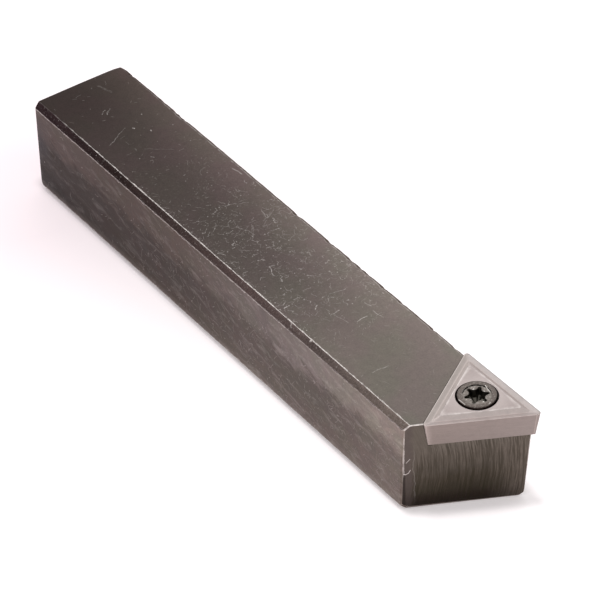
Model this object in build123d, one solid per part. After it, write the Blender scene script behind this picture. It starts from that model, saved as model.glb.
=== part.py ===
"""
Indexable turning tool: a square steel shank carries one three-cornered cutting
insert, held down in its pocket by a countersunk screw with a six-lobe socket.

Frame: +X runs along the shank from its back end to the cutting nose, +Y is the
cutting side, +Z is up. The origin lies on the base face, on the shank's middle
line and half way along the overall length.
"""
from build123d import *
import math
import os

os.makedirs("parts", exist_ok=True)

# Shank, millimetres and degrees
overall_length = 100.0
shank_width = 16.0
shank_height = 16.0
long_edge_chamfer = 0.8
end_edge_chamfer = 0.3
front_skew = 28.0
front_lean = 3.2
front_setback = 5.0
front_edge_break = 0.15
side_lean = 2.0
side_inset = 0.2
side_relief_length = 23.4
foot_chamfer = 0.6

# Insert
inscribed_circle = 9.525
insert_thickness = 3.97
insert_relief = 7.0
nose_radius = 0.4
nose_radius_below = 0.1
edge_lead = 1.0
nose_offset = 16.35
insert_hole = 4.4
countersink_opening = 6.0
countersink_angle = 60.0

# Chip groove on the insert's top
land_width = 0.15
groove_depth = 0.16
groove_fall = 0.75
groove_floor = 0.1
groove_band = 1.5
plateau_rise = 0.24
groove_corner = 0.22

# Screw
thread_diameter = 4.0
head_diameter = 5.5
head_stand = 0.24
head_edge = 0.12
screw_length = 9.6
screw_end_chamfer = 0.5
socket_across_lobes = 3.35
socket_across_flutes = 2.4
socket_lobe_radius = 0.27
socket_depth = 1.9
socket_lead_in = 3.85
socket_turn = 8.0

# Fits between the pieces
wall_clearance = 0.03
head_clearance = 0.03
thread_clearance = 0.05
foot_groove_width = 0.5
foot_groove_depth = 0.25

# Where the insert sits, worked out from the nose
apothem = inscribed_circle / 2
relief_inset = insert_thickness * math.tan(math.radians(insert_relief))
insert_turn = 30.0 + edge_lead
inward_x = -math.cos(math.radians(insert_turn))
inward_y = -math.sin(math.radians(insert_turn))
nose_x = overall_length / 2
nose_y = nose_offset - shank_width / 2
nose_centre_x = nose_x - nose_radius
nose_centre_y = nose_y - nose_radius
corner_to_centre = 2 * apothem
insert_x = nose_centre_x + inward_x * (corner_to_centre - 2 * nose_radius)
insert_y = nose_centre_y + inward_y * (corner_to_centre - 2 * nose_radius)
pocket_floor = shank_height - insert_thickness
plateau_top = shank_height + plateau_rise
back_x = nose_x - overall_length
far = overall_length
overrun = 1.0


def upright_plane(direction, x=0.0, y=0.0):
    """Plane whose first axis is level and points along direction, and whose second axis is up."""
    level = Vector(math.cos(math.radians(direction)), math.sin(math.radians(direction)), 0)
    return Plane(origin=(x, y, 0), x_dir=level, z_dir=level.cross(Vector(0, 0, 1)))


def wide_cut(plane, *points):
    """Long prism through the shank whose section is the polygon through points on the plane."""
    section = plane * make_face(Polyline(*points, close=True))
    return extrude(section, amount=far, both=True)


def bar():
    """Square bar, chamfered along its four long edges and round its back face."""
    length = overall_length
    block = Pos(back_x, 0, 0) * Box(
        length, shank_width, shank_height, align=(Align.MIN, Align.CENTER, Align.MIN)
    )
    block = chamfer(block.edges().filter_by(Axis.X), long_edge_chamfer)
    return chamfer(block.faces().sort_by(Axis.X)[0].edges(), end_edge_chamfer)


def front_cut():
    """Everything ahead of the skewed front face, which falls back below the insert."""
    fall = shank_height * math.tan(math.radians(front_lean))
    top = (nose_x - front_setback) * math.cos(math.radians(front_skew))
    slope = fall / shank_height
    return wide_cut(
        upright_plane(-front_skew),
        (top - fall - overrun * slope, -overrun),
        (top + overrun * slope, shank_height + overrun),
        (top + far, shank_height + overrun),
        (top + far, -overrun),
    )


def side_relief():
    """Wedge under the cutting side, so that the holder clears the work below the insert."""
    slope = math.tan(math.radians(side_lean))
    top = shank_width / 2 - side_inset
    foot = top - shank_height * slope
    wedge = Plane.YZ * make_face(
        Polyline(
            (foot - foot_chamfer, 0),
            (foot + foot_chamfer * slope, foot_chamfer),
            (top, shank_height),
            (far, shank_height),
            (far, 0),
            close=True,
        )
    )
    return Pos(nose_x - side_relief_length, 0, 0) * extrude(wedge, amount=far)


def pocket():
    """Room for the insert: level floor, and one wall leaning with the insert's relieved side."""
    top = apothem + wall_clearance
    foot = top - relief_inset
    slope = relief_inset / insert_thickness
    back_side = insert_turn + 180
    plane = upright_plane(back_side, insert_x, insert_y)
    room = wide_cut(
        plane,
        (-far, pocket_floor),
        (foot, pocket_floor),
        (top + overrun * slope, shank_height + overrun),
        (-far, shank_height + overrun),
    )
    groove = wide_cut(
        plane,
        (foot - foot_groove_width, pocket_floor + overrun),
        (foot - foot_groove_width, pocket_floor - foot_groove_depth),
        (foot, pocket_floor - foot_groove_depth),
        (foot, pocket_floor + overrun),
    )
    return room + groove


def shank():
    """Holder body: bar, skewed front, side relief, pocket and the screw's hole right through."""
    body = bar() - front_cut() - side_relief()
    ahead = Vector(math.cos(math.radians(front_skew)), -math.sin(math.radians(front_skew)), 0)
    front = body.faces().sort_by(lambda face: face.center().dot(ahead))[-1]
    body = chamfer(front.edges(), front_edge_break)
    hole = Cylinder(thread_diameter / 2 + thread_clearance, far)
    return body - pocket() - Pos(insert_x, insert_y, 0) * hole


def outline(inset, corner, level):
    """Three-sided outline lying inset inside the cutting edges, with rounded corners."""
    flat = RegularPolygon(apothem - inset, 3, major_radius=False)
    return Pos(0, 0, level) * fillet(flat.vertices(), corner)


def chip_groove(plate):
    """Plate with a trough behind its edges: a land, a fall, and a rise to the proud middle plateau."""
    fall = loft([outline(land_width, groove_corner, 0), outline(groove_fall, groove_corner, -groove_depth)])
    foot = outline(groove_fall + groove_floor, groove_corner, -groove_depth)
    plateau = loft([foot, outline(groove_band, groove_corner, plateau_rise)])
    return plate - fall + plateau


def insert():
    """Cutting insert: relieved three-sided plate with its chip groove and countersunk hole."""
    plate = loft([outline(0, nose_radius, 0), outline(relief_inset, nose_radius_below, -insert_thickness)])
    plate = chip_groove(plate) - Cylinder(insert_hole / 2, far)
    depth = (countersink_opening - insert_hole) / 2 / math.tan(math.radians(countersink_angle / 2))
    sink = Cone(
        insert_hole / 2, countersink_opening / 2, depth, align=(Align.CENTER, Align.CENTER, Align.MAX)
    )
    plate -= Pos(0, 0, plateau_rise) * sink
    return Pos(insert_x, insert_y, shank_height) * Rot(0, 0, insert_turn) * plate


def star():
    """Six-lobe socket outline: round lobes joined by hollow arcs that meet them smoothly."""
    lobe = socket_lobe_radius
    reach = socket_across_lobes / 2 - lobe
    inner = socket_across_flutes / 2
    turn = math.cos(math.radians(30))
    hollow = (reach**2 + inner**2 - 2 * reach * inner * turn - lobe**2) / (2 * (lobe - inner + reach * turn))
    face = Circle(reach)
    for step in range(6):
        face += Rot(0, 0, 60 * step) * Pos(reach, 0) * Circle(lobe)
    for step in range(6):
        middle = Vector(inner + hollow, 0).rotate(Axis.Z, 60 * step + 30)
        face -= Pos(middle.X, middle.Y) * Circle(hollow)
    return Rot(0, 0, socket_turn) * face


def insert_screw():
    """Countersunk screw; its head stands a little above the insert's plateau."""
    slope = math.tan(math.radians(countersink_angle / 2))
    head = head_diameter / 2
    shaft = thread_diameter / 2
    seat = (countersink_opening / 2 - head_clearance - head) / slope
    neck = seat + (head - shaft) / slope
    end = head_stand - screw_length
    section = Plane.XZ * make_face(
        Polyline(
            (0, head_stand),
            (head - head_edge, head_stand),
            (head, head_stand - head_edge),
            (head, -seat),
            (shaft, -neck),
            (shaft, end + screw_end_chamfer),
            (shaft - screw_end_chamfer, end),
            (0, end),
            close=True,
        )
    )
    body = revolve(section, Axis.Z)
    body -= Pos(0, 0, head_stand - socket_depth) * extrude(star(), amount=socket_depth + overrun)
    wide = socket_lead_in / 2
    narrow = socket_across_flutes / 2
    lead = Cone(narrow, wide, (wide - narrow) * slope, align=(Align.CENTER, Align.CENTER, Align.MAX))
    body -= Pos(0, 0, head_stand) * lead
    return Pos(insert_x, insert_y, plateau_top) * body


export_step(shank(), "parts/shank.step")
export_step(insert(), "parts/insert.step")
export_step(insert_screw(), "parts/insert_screw.step")
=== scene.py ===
# %% [markdown]
# # An indexable turning tool, dressed in Blender
# The tool is a square steel bar that carries one three-cornered cutting insert. A screw with a
# six-lobe socket holds the insert down in its pocket. The solids of the three parts are already
# made and packed, so this lesson starts by loading them. Every shape below is built round them, in
# metres, at the place that the solids give.

# %% Load the solids
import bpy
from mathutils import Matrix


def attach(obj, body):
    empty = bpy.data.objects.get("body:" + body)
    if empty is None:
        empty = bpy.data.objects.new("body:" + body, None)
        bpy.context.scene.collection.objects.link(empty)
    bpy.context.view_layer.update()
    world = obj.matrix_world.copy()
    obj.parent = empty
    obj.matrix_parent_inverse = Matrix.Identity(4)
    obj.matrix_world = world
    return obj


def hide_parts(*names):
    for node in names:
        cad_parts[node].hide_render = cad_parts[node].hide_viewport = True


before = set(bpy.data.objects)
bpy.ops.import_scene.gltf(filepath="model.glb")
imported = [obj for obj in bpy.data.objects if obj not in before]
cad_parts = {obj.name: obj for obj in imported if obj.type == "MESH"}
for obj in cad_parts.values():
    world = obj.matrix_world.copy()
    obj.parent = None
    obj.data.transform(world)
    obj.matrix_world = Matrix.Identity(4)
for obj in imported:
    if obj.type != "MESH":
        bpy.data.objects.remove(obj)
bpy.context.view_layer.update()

# %% [markdown]
# ## Numbers that the pieces share
# Lengths are in millimetres, as on a workshop drawing, and each piece is turned into metres when
# its mesh is made. They repeat the sizes of the solids, because the visible pieces stand in the
# same places. The insert's middle follows from where its cutting nose is.

# %% Sizes
import math
from functools import partial
import bpy
import numpy as np
from mathutils import Matrix, Vector

MILLIMETRE = 0.001
bar_back, bar_half, bar_height, long_chamfer = -50.0, 8.0, 16.0, 0.8
front_skew, front_lean, front_at = math.radians(28.0), math.radians(3.2), 45.0
relief_start, relief_inset, relief_lean, foot_chamfer = 26.6, 0.2, math.radians(2.0), 0.6

apothem, insert_thickness, insert_relief = 4.7625, 3.97, math.radians(7.0)
insert_turn, nose_radius, nose_centre = math.radians(31.0), 0.4, np.array([49.6, 7.95])
nose_reach = 2 * apothem - 2 * nose_radius
insert_middle = nose_centre - nose_reach * np.array([math.cos(insert_turn), math.sin(insert_turn)])
pocket_floor = bar_height - insert_thickness
wall_clearance, relief_groove_width, relief_groove_depth = 0.03, 0.5, 0.25
plateau_rise, ridge_inset, ridge_corner = 0.24, 1.5, 0.30
hole_radius, sink_radius, sink_slope = 2.2, 3.0, math.tan(math.radians(30))

head_stand, head_radius, head_clearance = 0.24, 2.75, 0.03
screw_top = bar_height + plateau_rise + head_stand
screw_end, shaft_radius, thread_pitch = -9.6, 2.0, 0.7
recess_floor, socket_turn = -0.13, math.radians(8)
print("insert and screw axis at", insert_middle.round(3), "mm")

# %% [markdown]
# ## The camera
# The photograph looks down on the tool from in front of its cutting end, with a long lens. A long
# lens far away keeps parallel edges nearly parallel, so the distance was found from how the bar's
# two ends differ in size. The camera is also rolled by two degrees.

# %% Camera
def aim_camera(place, azimuth, elevation, roll, lens):
    """Camera whose back points at azimuth and elevation; roll turns its right side up."""
    a, e, r = (math.radians(angle) for angle in (azimuth, elevation, roll))
    back = Vector((math.cos(a) * math.cos(e), math.sin(a) * math.cos(e), math.sin(e)))
    level = Vector((0, 0, 1)).cross(back).normalized()
    up = back.cross(level)
    right = level * math.cos(r) + up * math.sin(r)
    above = up * math.cos(r) - level * math.sin(r)
    data = bpy.data.cameras.new("camera")
    data.lens, data.sensor_width, data.clip_start, data.clip_end = lens, 36.0, 0.01, 20.0
    camera = bpy.data.objects.new("camera", data)
    turn = Matrix((right, above, back)).transposed().to_4x4()
    camera.matrix_world = Matrix.Translation(Vector(place) * MILLIMETRE) @ turn
    bpy.context.scene.collection.objects.link(camera)
    bpy.context.scene.camera = camera


aim_camera((354.385, -240.992, 366.819), azimuth=-34.673, elevation=40.04, roll=-2.037, lens=235.195)
print("camera stands", round(bpy.context.scene.camera.location.length, 3), "m from the bar's middle")

# %% [markdown]
# ## Helpers for materials
# Screen colours are written as hex codes, but light adds up in linear numbers, so one function
# turns them. Another adds a node with its settings and links in one call, which keeps a material
# readable from top to bottom. The nodes used most go by a plain word, kept in a table.

# %% Colour and node helpers
WORDS = {  # word: the node, its inputs in the order in which they are given, its output, its settings
    "times": ("Math", (0, 1), 0, {"operation": "MULTIPLY"}),
    "plus": ("Math", (0, 1, 2), 0, {"operation": "MULTIPLY_ADD"}),  # first * second + third
    "sum": ("Math", (0, 1), 0, {"operation": "ADD"}),
    "minus": ("Math", (0, 1), 0, {"operation": "SUBTRACT"}),
    "size": ("Math", (0,), 0, {"operation": "ABSOLUTE"}),
    "largest": ("Math", (0, 1), 0, {"operation": "MAXIMUM"}),
    # a value's range low to high becomes start to end, and is held at both ends
    "ramp": ("MapRange", ("Value", "From Min", "From Max", "To Min", "To Max"), 0, {}),
    "noise": ("TexNoise", ("Vector", "Scale", "Detail", "Roughness", "Distortion"), 0, {"noise_dimensions": "2D"}),
    "blend": ("Mix", (0, 6, 7), 2, {"data_type": "RGBA"}),
    "shade": ("VectorMath", (0, "Scale"), 0, {"operation": "SCALE"}),
    "shift": ("VectorMath", (0, 1, 2), 0, {"operation": "MULTIPLY_ADD"}),
    "stretch": ("VectorMath", (0, 1), 0, {"operation": "MULTIPLY"}),
    "distance": ("VectorMath", (0, 1), "Value", {"operation": "DISTANCE"}),
    "dot": ("VectorMath", (0, 1), "Value", {"operation": "DOT_PRODUCT"}),
    "turn": ("VectorRotate", ("Vector", "Angle"), 0, {"rotation_type": "Z_AXIS"}),
}


def linear(code):
    """Hex colour as linear red, green, blue and alpha: each channel is undone from the screen's curve."""
    shown = np.array([int(code[k:k + 2], 16) / 255 for k in (1, 3, 5)])
    return (*np.where(shown <= 0.04045, shown / 12.92, ((shown + 0.055) / 1.055) ** 2.4), 1.0)


def add(tree, kind, *inputs, out=0, stops=(), **settings):
    """Add a node, named by its kind or by a word of the table, and return one output, or the node itself where
    out is None. Inputs are given in order, or by name in one dictionary: a socket is linked, anything else is
    set, a hex code as its linear colour. times and largest take any number of inputs, in pairs. Stops are the
    places and hex codes of a colour ramp."""
    if kind in ("times", "largest") and len(inputs) > 2:
        inputs = add(tree, kind, *inputs[:-1]), inputs[-1]
    kind, names, usual_out, fixed = WORDS.get(kind, (kind, range(9), 0, {}))
    made = tree.nodes.new("ShaderNode" + kind)
    for name, value in {**fixed, **settings}.items():
        setattr(made, name, value)
    for k, (place, code) in enumerate(stops):
        stop = made.color_ramp.elements[k] if k < 2 else made.color_ramp.elements.new(place)
        stop.position, stop.color = place, linear(code)
    named = inputs[0] if inputs and isinstance(inputs[0], dict) else dict(zip(names, inputs))
    for name, value in named.items():
        if isinstance(value, bpy.types.NodeSocket):
            tree.links.new(value, made.inputs[name])
        else:
            made.inputs[name].default_value = linear(value) if isinstance(value, str) else value
    return made if out is None or not made.outputs else made.outputs[usual_out if out == 0 else out]


def start_finish(name):
    """Make or clear a material, and return the function that adds a node to it."""
    material = bpy.data.materials.get(name) or bpy.data.materials.new(name)
    material.use_nodes = True
    material.node_tree.nodes.clear()
    return partial(add, material.node_tree)


def in_millimetres(node):
    """The point's place on the object, in millimetres."""
    return node("shade", node("TexCoord", out="Object"), 1 / MILLIMETRE)


def finish_metal(node, colour, roughness, height, edge_tint=(1.0, 1.0, 1.0, 1.0)):
    """Metal shader: colour is what it mirrors face on and edge_tint what it mirrors at a grazing angle. height
    is its relief in millimetres."""
    normal = node("Bump", {"Height": height, "Distance": MILLIMETRE, "Strength": 1.0})
    shader = node("BsdfPrincipled", {
        "Base Color": colour, "Roughness": roughness, "Metallic": 1.0, "Specular Tint": edge_tint, "Normal": normal})
    node("OutputMaterial", {"Surface": shader})


print("mid grey #808080 is", round(float(linear("#808080")[0]), 3), "in linear light")

# %% [markdown]
# ## The room
# The tool stands on white paper in a white room. Metal shows what it mirrors, so the room is light
# all round, and two soft lamps give that light a direction. A third lamp straight above lights only
# the paper and leaves a soft shadow in front. It isn't mirrored, so the metal doesn't change.
# The paper could be made white with more light, but then pale metal would clip. Its own glow, seen
# only by the camera and in the metal, does it instead. Beside the back of the bar its colour is
# darker: a painted shadow.

# %% Floor, world and lamps
FLOOR_REACH, FLOOR_LEVEL, FLOOR_GLOW = 2.5, -0.00002, 0.24
# painted shadow: the paper's colour darkens round a point beside the back of the bar
SHADOW_PATCH_MIDDLE, SHADOW_PATCH_FROM, SHADOW_PATCH_TO = (-0.050, -0.012, 0.0), 0.010, 0.055
WORLD_STRENGTH = 0.75


def make_floor():
    """Wide white table top. Rays from the camera and from metal see it lifted, as in an overexposed studio."""
    data = bpy.data.meshes.new("floor")
    sides = [(-1, -1), (1, -1), (1, 1), (-1, 1)]
    data.from_pydata([(x * FLOOR_REACH, y * FLOOR_REACH, FLOOR_LEVEL) for x, y in sides], [], [(0, 1, 2, 3)])
    floor = bpy.data.objects.new("floor", data)
    bpy.context.scene.collection.objects.link(floor)
    node = start_finish("white_paper_sweep")  # to the eye: matt, clean and almost without an edge
    ray = node("LightPath", out=None)
    seen = node("largest", *(ray.outputs[kind] for kind in ("Is Camera Ray", "Is Glossy Ray", "Is Transmission Ray")))
    away = node("distance", node("TexCoord", out="Object"), SHADOW_PATCH_MIDDLE)
    # painted shadow: the paper is darker near the back of the bar
    paper = node("blend", node("ramp", away, SHADOW_PATCH_FROM, SHADOW_PATCH_TO, 1.0, 0.0), "#F4EFF0", "#D9CDD1")
    shader = node("BsdfPrincipled", {
        "Base Color": paper, "Roughness": 0.9, "Specular IOR Level": 0.1,
        "Emission Color": "#FFF8F9", "Emission Strength": node("times", seen, FLOOR_GLOW)})
    node("OutputMaterial", {"Surface": shader})
    data.materials.append(bpy.data.materials["white_paper_sweep"])


def area_lamp(name, place, target, size, power, mirrored=True):
    """Square soft lamp at place, facing target, in metres and watts. Metal shows it only where it is mirrored."""
    data = bpy.data.lights.new(name, "AREA")
    data.shape, data.size, data.energy = "SQUARE", size, power
    lamp = bpy.data.objects.new(name, data)
    lamp.location = place
    lamp.visible_glossy = mirrored
    lamp.rotation_euler = (Vector(target) - Vector(place)).to_track_quat("-Z", "Y").to_euler()
    bpy.context.scene.collection.objects.link(lamp)


make_floor()
world = bpy.data.worlds.new("white_room")
world.use_nodes = True
world.node_tree.nodes["Background"].inputs["Color"].default_value = (1.0, 1.0, 1.0, 1.0)
world.node_tree.nodes["Background"].inputs["Strength"].default_value = WORLD_STRENGTH
bpy.context.scene.world = world
area_lamp("soft_box", (-0.32, 0.30, 0.42), (0.03, 0.0, 0.0), size=0.25, power=0.14)
area_lamp("window", (-0.26, -0.22, 0.42), (0.03, 0.0, 0.0), size=0.30, power=0.45)
area_lamp("overhead", (0.012, -0.010, 0.60), (0.045, 0.0, 0.0), size=0.07, power=1.4, mirrored=False)
bpy.context.scene.view_settings.view_transform = "Standard"
print("world strength", WORLD_STRENGTH)

# %% [markdown]
# ## Making meshes from arrays
# Each new piece is a grid of points: one direction runs along the piece and the other round it.
# numpy works out all points at once, and the faces follow from the grid's row and column numbers.
# The points carry a second set of numbers as UV maps, in millimetres, so that a scratch or a worn
# edge can be placed on the surface like a decal on an unrolled sheet.

# %% Grid helpers
def grid_faces(rows, columns, join_rows=False, join_columns=True):
    """Corner numbers of all squares of a grid, row by row; joined sides wrap round."""
    row = np.arange(rows if join_rows else rows - 1)[:, None]
    column = np.arange(columns if join_columns else columns - 1)[None, :]
    next_row, next_column = (row + 1) % rows, (column + 1) % columns
    here, right = row * columns + column, row * columns + next_column
    above, beyond = next_row * columns + column, next_row * columns + next_column
    return np.stack([here, right, beyond, above], axis=-1).reshape(-1, 4)


def closed_faces(rows, columns):
    """Faces of a tube, and of its first and last rows as lids."""
    lids = [list(range(columns))[::-1], list(range((rows - 1) * columns, rows * columns))]
    return grid_faces(rows, columns).tolist() + lids


def build_mesh(name, points, faces, sharp=30.0):
    """Mesh from points in millimetres and a list of faces. Edges that bend more than sharp degrees stay crisp, and
    faces turn outwards, which a volume below zero shows that they don't."""
    data = bpy.data.meshes.new(name)
    data.from_pydata((np.asarray(points).reshape(-1, 3) * MILLIMETRE).tolist(), [], faces)
    data.update()
    data.shade_smooth()
    data.set_sharp_from_angle(angle=math.radians(sharp))
    if volume_of(data) < 0:
        data.flip_normals()
    return data


def add_uv(data, name, values):
    """UV map from two numbers for each point: every face corner reads its point's."""
    corner_point = np.zeros(len(data.loops), dtype=np.int32)
    data.loops.foreach_get("vertex_index", corner_point)
    layer = data.uv_layers.new(name=name)
    layer.data.foreach_set("uv", np.asarray(values, dtype=np.float32).reshape(-1, 2)[corner_point].ravel())


def place_piece(data, name):
    """Object for a mesh, at the origin, in the scene."""
    piece = bpy.data.objects.new(name, data)
    bpy.context.scene.collection.objects.link(piece)
    return piece


def volume_of(data):
    """Enclosed volume in cubic millimetres: each triangle and the origin span a small pyramid."""
    data.calc_loop_triangles()
    corners = np.zeros(len(data.loop_triangles) * 3, dtype=np.int32)
    data.loop_triangles.foreach_get("vertices", corners)
    points = np.zeros(len(data.vertices) * 3)
    data.vertices.foreach_get("co", points)
    a, b, c = np.moveaxis(points.reshape(-1, 3)[corners.reshape(-1, 3)], 1, 0) / MILLIMETRE
    return float((np.cross(a, b) * c).sum() / 6)


def rounded(corners, radius, steps):
    """Closed outline with each corner swung into an arc. The arc's centre lies on the corner's bisector,
    radius / cos(half the turn) away, and its points are the centre plus radius times a normal that
    turns from one side's to the next side's."""
    corners = np.asarray(corners, dtype=float)
    ahead = np.roll(corners, -1, axis=-2) - corners
    ahead /= np.linalg.norm(ahead, axis=-1, keepdims=True)
    behind = np.roll(ahead, 1, axis=-2)
    turn = np.arctan2(behind[..., 0] * ahead[..., 1] - behind[..., 1] * ahead[..., 0], (behind * ahead).sum(-1))
    start = np.stack([behind[..., 1], -behind[..., 0]], axis=-1)
    bisector = start + np.stack([ahead[..., 1], -ahead[..., 0]], axis=-1)
    bisector /= np.linalg.norm(bisector, axis=-1, keepdims=True)
    signed = (np.broadcast_to(radius, turn.shape) * np.sign(turn))[..., None]
    centre = corners - bisector * signed / np.cos(turn / 2)[..., None]
    angle = turn[..., None] * np.linspace(0, 1, steps + 1)
    normal = np.stack([np.cos(angle) * start[..., :1] - np.sin(angle) * start[..., 1:],
                       np.sin(angle) * start[..., :1] + np.cos(angle) * start[..., 1:]], axis=-1)
    return centre[..., None, :] + signed[..., None, :] * normal


print("a square with rounded corners has", rounded([(0, 0), (1, 0), (1, 1), (0, 1)], 0.1, 4).shape, "points")

# %% [markdown]
# ## The bar
# The real bar is a cold-drawn and milled steel square with small chamfers along its edges. It could
# be a cube with a bevel, but then its edges would be too perfect: this one has been knocked about
# in a tool box. So its section is an outline with eight rounded corners, carried along the bar at
# hundreds of stations, and at each station a corner may be dented inwards a little.
# The last stations lean over until they lie in the skewed front face. The cutting side is set in
# and leans inwards below the insert.

# %% Section of the bar
ARC_STEPS = 4
FLAT_STEPS, CHAMFER_STEPS = np.array([0.12, 0.35, 0.9, 2.0, 4.2]), np.array([0.12, 0.30])


def section_corners(inset, relieved):
    """Eight corners of the bar's section (y, z), from the base's left end round by the right.
    inset shrinks it all round; relieved is 0 for the square bar and 1 for the part with the leaning side."""
    c, w, h = long_chamfer, bar_half, bar_height
    square = np.array([(c - w, 0), (w - c, 0), (w, c), (w, h - c), (w - c, h), (c - w, h), (-w, h - c), (-w, c)])
    lean = math.tan(relief_lean)
    top, f = w - relief_inset, foot_chamfer
    upper_drop = (c - relief_inset) / (1 + lean)
    leaning = square.copy()
    leaning[1] = (top - h * lean - f, 0)
    leaning[2] = (top - (h - f) * lean, f)
    leaning[3] = (top - upper_drop * lean, h - upper_drop)
    k = np.asarray(relieved)[..., None, None]
    corners = square * (1 - k) + leaning * k
    ahead = np.roll(corners, -1, axis=-2) - corners
    ahead /= np.linalg.norm(ahead, axis=-1, keepdims=True)
    behind = np.roll(ahead, 1, axis=-2)
    inward = np.stack([-behind[..., 1] - ahead[..., 1], behind[..., 0] + ahead[..., 0]], axis=-1)
    inward /= (1 + (behind * ahead).sum(-1))[..., None]
    return corners + inward * np.asarray(inset)[..., None, None]


def section_points(inset, relieved, radius):
    """The section with arcs at its corners and extra points on its flats, which gather near the corners.
    Returns the points, and the column in which each corner's middle lies."""
    arcs = rounded(section_corners(inset, relieved), radius, ARC_STEPS)
    following = np.roll(arcs[..., 0, :], -1, axis=-2)
    start, span = arcs[..., -1, :], following - arcs[..., -1, :]
    length = np.linalg.norm(span, axis=-1)
    parts = []
    for side in range(8):
        steps = CHAMFER_STEPS if side % 2 else FLAT_STEPS
        along = np.concatenate([steps[None] / length[..., side, None], np.full(length[..., side, None].shape, 0.5),
                                1 - steps[None, ::-1] / length[..., side, None]], axis=-1)
        flat = start[..., side, None, :] + along[..., None] * span[..., side, None, :]
        parts += [arcs[..., side, :, :], flat]
    points = np.concatenate(parts, axis=-2)
    sizes = [part.shape[-2] for part in parts]
    middles = np.cumsum([0] + sizes[:-1])[::2] + ARC_STEPS // 2
    return points, middles


plain_outline, corner_columns = section_points(np.zeros(1), np.zeros(1), 0.12)
print("points round the bar:", plain_outline.shape[1], "corner columns:", corner_columns)

# %% [markdown]
# ## Its wear and its ends
# Each corner of the section has its own radius, and its own share of the knocks: the upper ones took
# most. The knocks could be sculpted, but bell curves at random places, with a fixed seed, give the
# same worn edge and are easy to change. The four clearest notches stand where the photograph has them.

# %% Dents
DENT_COUNT, DENT_SEED = 26, 11
CORNER_RADIUS = np.array([0.20, 0.35, 0.35, 0.14, 0.12, 0.12, 0.14, 0.25])
CORNER_KNOCKS = np.array([0.5, 0.5, 0.8, 1.5, 1.5, 0.9, 0.9, 0.8])
CORNER_REACH = np.array([0.33, 0.33, 0.33, 1.5, 1.5, 0.33, 0.33, 0.33])
# corner, place along the bar, width, depth
KNOCKS = [(5, 14.7, 0.22, 0.14), (6, 14.7, 0.22, 0.12), (5, 18.9, 0.2, 0.12), (6, 19.1, 0.25, 0.10)]


def dents(stations):
    """Depth of the dents, station by corner: bell-shaped knocks at random places, and a faint waviness."""
    random = np.random.default_rng(DENT_SEED)
    shape = DENT_COUNT, 8
    place = random.uniform(bar_back, 46, shape)
    width = random.uniform(0.18, 0.6, shape)
    depth = random.uniform(0.02, 0.11, shape) * (random.random(shape) < 0.7)
    knots = np.arange(bar_back, 47, 0.9)
    wave = np.stack([np.interp(stations, knots, random.uniform(0, 0.03, len(knots))) for _ in range(8)], axis=1)
    place[:, 4], width[:, 4], depth[:, 4], wave[:, 4] = place[:, 3], width[:, 3], depth[:, 3], wave[:, 3]
    near = (np.exp(-((stations[:, None, None] - place) / width) ** 2) * depth).max(axis=1)
    result = (near + wave) * CORNER_KNOCKS
    for corner, at, wide, deep in KNOCKS:
        result[:, corner] = np.maximum(result[:, corner], deep * np.exp(-((stations - at) / wide) ** 2))
    return result


print("deepest knock:", dents(np.arange(bar_back, front_at, 0.1)).max().round(3), "mm")

# %% Stations and ends
STATION_STEP, END_ROWS, SLIDE_FROM = 0.3, 7, 28.0


def bar_stations():
    """Places of the outlines along the bar. They gather where the side relief starts, and at both ends, where
    a whole quarter round shares nearly one place."""
    middle = np.concatenate([np.arange(bar_back + 1.2, relief_start - 0.3, STATION_STEP),
                             relief_start + np.array([-0.12, -0.04, 0.0, 0.05, 0.15]),
                             np.arange(relief_start + 0.4, front_at - 0.8, STATION_STEP)])
    nominal = np.concatenate([np.full(END_ROWS, bar_back), middle, np.full(END_ROWS, front_at)])
    nominal[:END_ROWS] += 0.1 * np.arange(END_ROWS)
    return nominal


def end_rounds(outline):
    """Radius of the back's and the front's edge, point by point round the outline (millimetres)."""
    y, z = outline[0].T
    back = np.interp(y, [-8.0, -7.0, 0.0, 6.0, 8.0], [0.38, 0.12, 0.25, 0.50, 1.0])
    back = np.minimum(back + 0.7 * np.clip(1 - z / 1.5, 0, 1), 1.1)
    y, z = outline[-1].T
    front = 0.18 + (0.16 - 0.016 * y) * np.clip(1 - z / 1.2, 0, 1) + 0.08 * np.clip(-y - 7.2, 0, 0.8) * (z > 1.2)
    return back, front


def edge_gaps(outline, columns):
    """For each point: the way round the outline from its first point, the corner nearest by that way, and how
    far off it is."""
    stepped = np.linalg.norm(np.diff(outline, axis=1, append=outline[:, :1]), axis=-1)
    around = np.cumsum(stepped, axis=1) - stepped
    total = stepped.sum(axis=1)[:, None, None]
    away = (around[:, :, None] - around[:, None, columns] + total / 2) % total - total / 2
    return around, np.abs(away).argmin(axis=2), np.abs(away).min(axis=2)


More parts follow.
